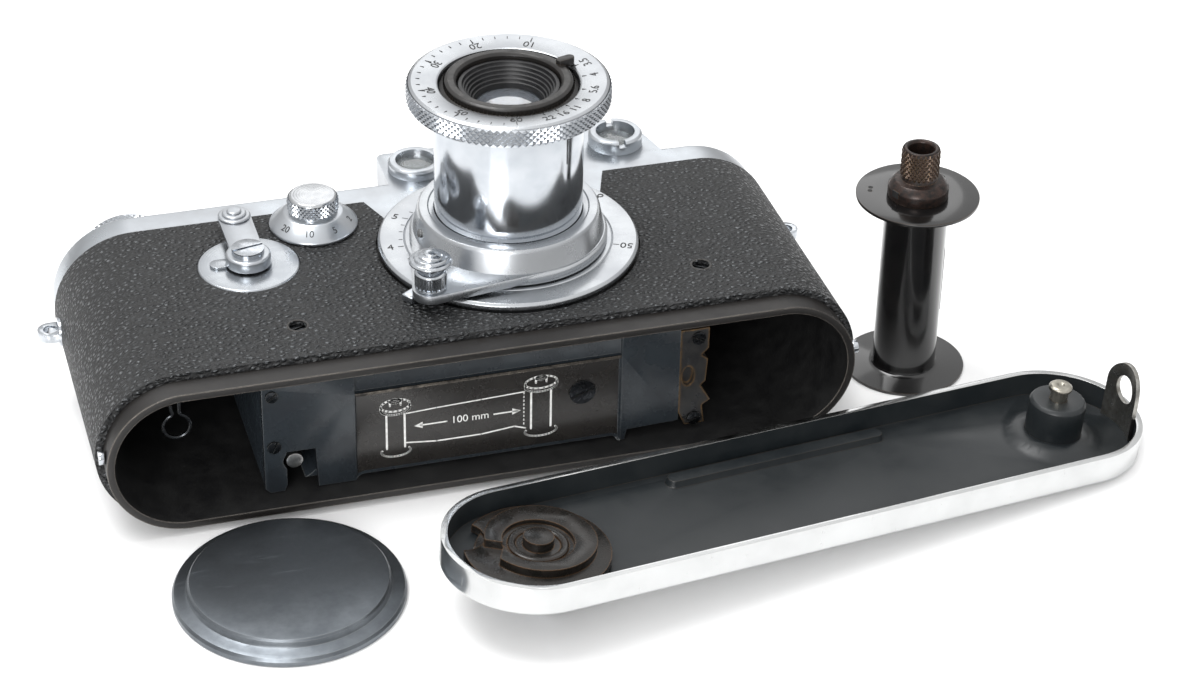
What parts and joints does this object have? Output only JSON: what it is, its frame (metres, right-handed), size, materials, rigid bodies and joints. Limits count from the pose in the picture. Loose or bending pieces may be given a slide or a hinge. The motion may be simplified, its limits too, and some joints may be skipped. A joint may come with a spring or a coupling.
{
  "type": "rangefinder camera",
  "caption": "Film rangefinder camera on its back with a collapsible screw-mount lens drawn out, its base plate unlocked and off, the take-up spool and push-on lens cap beside it.",
  "frame": {"origin": "where the lens axis meets the back of the camera, on the surface it lies on", "axes": "+Z along the lens axis out of the front, +Y to the top of the camera, +X to the right as seen from in front"},
  "size_m": [0.1882, 0.1223, 0.0641],
  "materials": {
    "vulcanite": "pebbled hard rubber, semi-gloss",
    "black_paint": "brown-black stoving paint, worn at the edges",
    "matt_black": "matt black",
    "satin_chrome": "satin chrome on brass",
    "bright_chrome": "polished",
    "nickel": "nickel-plated brass",
    "steel": "machined",
    "spring_steel": "drawn wire and strip",
    "crate_blue": "blue-grey enamel, satin",
    "crate_black": "black enamel",
    "brass_worn": "blackened, worn to brass at the edge",
    "curtain_cloth": "rubberised cloth",
    "plate_chrome": "satin chrome outside, black inside",
    "lock_bronze": "darkened bronze",
    "spool_black": "gloss black lacquer on brass",
    "spool_brown": "brown lacquer, knurled",
    "cap_grey": "dull, scuffed",
    "velvet": "velvet",
    "lens_black": "black anodised",
    "optical_glass": "blue coated",
    "window_glass": "clear"
  },
  "bodies": {
    "camera_body": {"body_shell": "black_paint", "body_covering": "vulcanite", "covering_screws": "bright_chrome", "strap_lugs": "bright_chrome", "base_studs": "steel", "top_cover": "satin_chrome", "window_rings": "satin_chrome", "window_glasses": "window_glass", "eyepieces": "matt_black", "accessory_shoe": "satin_chrome", "shoe_screws": "bright_chrome", "release_collar": "satin_chrome", "timer_disc": "satin_chrome", "lens_mount_ring": "satin_chrome", "mount_screws": "steel", "lens_flange": "satin_chrome", "infinity_catch": "bright_chrome", "shutter_crate": "crate_black", "crate_bottom_plate": "crate_blue", "crate_screws": "steel", "film_guide": "brass_worn", "film_spring": "spring_steel", "pressure_plate": "matt_black", "pressure_springs": "spring_steel", "shutter_curtain": "curtain_cloth"},
    "focus_sleeve": {"helicoid_sleeve": "nickel"},
    "focus_mount": {"focus_ring": "satin_chrome", "focus_knob": "bright_chrome"},
    "infinity_lock": {"infinity_button": "bright_chrome"},
    "lens_barrel": {"lens_tube": "bright_chrome", "front_ring": "satin_chrome", "lens_cell": "lens_black", "lens_glasses": "optical_glass"},
    "aperture_control": {"aperture_ring": "satin_chrome", "iris_blades": "matt_black"},
    "slow_speed_control": {"slow_dial": "satin_chrome", "slow_dial_knob": "satin_chrome"},
    "timer_control": {"timer_lever": "satin_chrome", "timer_screw": "bright_chrome"},
    "advance_drive": {"advance_knob": "satin_chrome", "takeup_shaft": "steel"},
    "counter": {"frame_counter": "satin_chrome"},
    "film_sprocket": {"sprocket_shaft": "steel"},
    "speed_control": {"speed_dial": "satin_chrome"},
    "release": {"release_button": "bright_chrome"},
    "rewind_switch": {"rewind_lever": "satin_chrome"},
    "rewind_drive": {"rewind_shaft": "steel"},
    "rewind_grip": {"rewind_knob": "satin_chrome"},
    "diopter_control": {"diopter_lever": "satin_chrome"},
    "curtain_drum": {"shutter_drum": "nickel"},
    "take_up_roller": {"curtain_roller": "nickel"},
    "bottom_cover": {"base_plate": "plate_chrome", "tripod_bush": "nickel", "base_hook": "steel"},
    "bottom_lock": {"lock_disc": "lock_bronze"},
    "lock_handle": {"lock_key": "bright_chrome"},
    "film_spool": {"spool": "spool_black", "spool_collar": "spool_brown"},
    "front_cap": {"lens_cap": "cap_grey", "cap_lining": "velvet"}
  },
  "joints": [
    {"name": "focus_turn", "type": "hinge", "parent": "camera_body", "child": "focus_sleeve", "pos_m": [0, 0, 0.03], "axis": [0, 0, 1], "range_deg": [0, 180]},
    {"name": "focus_travel", "type": "slide", "parent": "focus_sleeve", "child": "focus_mount", "axis": [0, 0, 1], "range_m": [0, 0.0026]},
    {"name": "infinity_press", "type": "slide", "parent": "focus_mount", "child": "infinity_lock", "axis": [0, 0, -1], "range_m": [0, 0.001], "stiffness_N_per_m": 250, "springref_m": -0.001},
    {"name": "lens_collapse", "type": "slide", "parent": "focus_mount", "child": "lens_barrel", "axis": [0, 0, -1], "range_m": [0, 0.02]},
    {"name": "aperture_turn", "type": "hinge", "parent": "lens_barrel", "child": "aperture_control", "pos_m": [0, 0, 0.06], "axis": [0, 0, 1], "range_deg": [-84, 0]},
    {"name": "slow_dial_turn", "type": "hinge", "parent": "camera_body", "child": "slow_speed_control", "pos_m": [-0.0324, 0.0147, 0.03], "axis": [0, 0, 1], "range_deg": [-200, 0]},
    {"name": "timer_wind", "type": "hinge", "parent": "camera_body", "child": "timer_control", "pos_m": [-0.0463, 0.0042, 0.03], "axis": [0, 0, 1], "range_deg": [0, 180]},
    {"name": "film_advance", "type": "hinge", "parent": "camera_body", "child": "advance_drive", "pos_m": [-0.0634, 0.03, 0.015], "axis": [0, 1, 0], "continuous": true},
    {"name": "counter_turn", "type": "hinge", "parent": "camera_body", "child": "counter", "pos_m": [-0.0634, 0.0275, 0.015], "axis": [0, 1, 0], "continuous": true},
    {"name": "sprocket_turn", "type": "hinge", "parent": "camera_body", "child": "film_sprocket", "pos_m": [-0.0453, 0, 0.00905], "axis": [0, 1, 0], "continuous": true},
    {"name": "speed_dial_turn", "type": "hinge", "parent": "camera_body", "child": "speed_control", "pos_m": [-0.027, 0.03, 0.015], "axis": [0, 1, 0], "continuous": true},
    {"name": "release_press", "type": "slide", "parent": "camera_body", "child": "release", "axis": [0, -1, 0], "range_m": [0, 0.0018], "stiffness_N_per_m": 400, "springref_m": -0.001},
    {"name": "rewind_lever_turn", "type": "hinge", "parent": "camera_body", "child": "rewind_switch", "pos_m": [-0.0495, 0.028, 0.0225], "axis": [0, 1, 0], "range_deg": [-50, 0]},
    {"name": "rewind_spin", "type": "hinge", "parent": "camera_body", "child": "rewind_drive", "pos_m": [0.04045, 0.03, 0.015], "axis": [0, 1, 0], "continuous": true},
    {"name": "rewind_pull", "type": "slide", "parent": "rewind_drive", "child": "rewind_grip", "axis": [0, 1, 0], "range_m": [0, 0.0045]},
    {"name": "diopter_turn", "type": "hinge", "parent": "camera_body", "child": "diopter_control", "pos_m": [0.04045, 0.028, 0.015], "axis": [0, 1, 0], "range_deg": [-60, 0]},
    {"name": "drum_turn", "type": "hinge", "parent": "camera_body", "child": "curtain_drum", "pos_m": [0.018, 0, 0.01075], "axis": [0, 1, 0], "range_deg": [0, 480]},
    {"name": "roller_turn", "type": "hinge", "parent": "camera_body", "child": "take_up_roller", "pos_m": [-0.022, 0, 0.00975], "axis": [0, 1, 0], "range_deg": [0, 620]},
    {"name": "plate_lift", "type": "slide", "parent": "camera_body", "child": "bottom_cover", "axis": [0, 0, 1], "range_m": [0, 0.025]},
    {"name": "lock_turn", "type": "hinge", "parent": "bottom_cover", "child": "bottom_lock", "pos_m": [-0.01265, -0.06562, 0.01], "axis": [0.0737, 0.0149, 0.9972], "range_deg": [0, 180]},
    {"name": "key_fold", "type": "hinge", "parent": "bottom_lock", "child": "lock_handle", "pos_m": [-0.01268, -0.06563, 0.0096], "axis": [-0.1985, 0.9801, 0], "range_deg": [0, 90]},
    {"name": "spool_lift", "type": "slide", "parent": "camera_body", "child": "film_spool", "axis": [0, 0, 1], "range_m": [0, 0.05]},
    {"name": "cap_lift", "type": "slide", "parent": "camera_body", "child": "front_cap", "axis": [0, 0, 1], "range_m": [0, 0.02]}
  ],
  "couplings": [
    {"joint": "focus_travel", "follows": "focus_turn", "m_per_rad": 0.00082761},
    {"joint": "counter_turn", "follows": "film_advance", "ratio": 0.025},
    {"joint": "sprocket_turn", "follows": "film_advance", "ratio": 1},
    {"joint": "roller_turn", "follows": "drum_turn", "ratio": 1.2857}
  ]
}
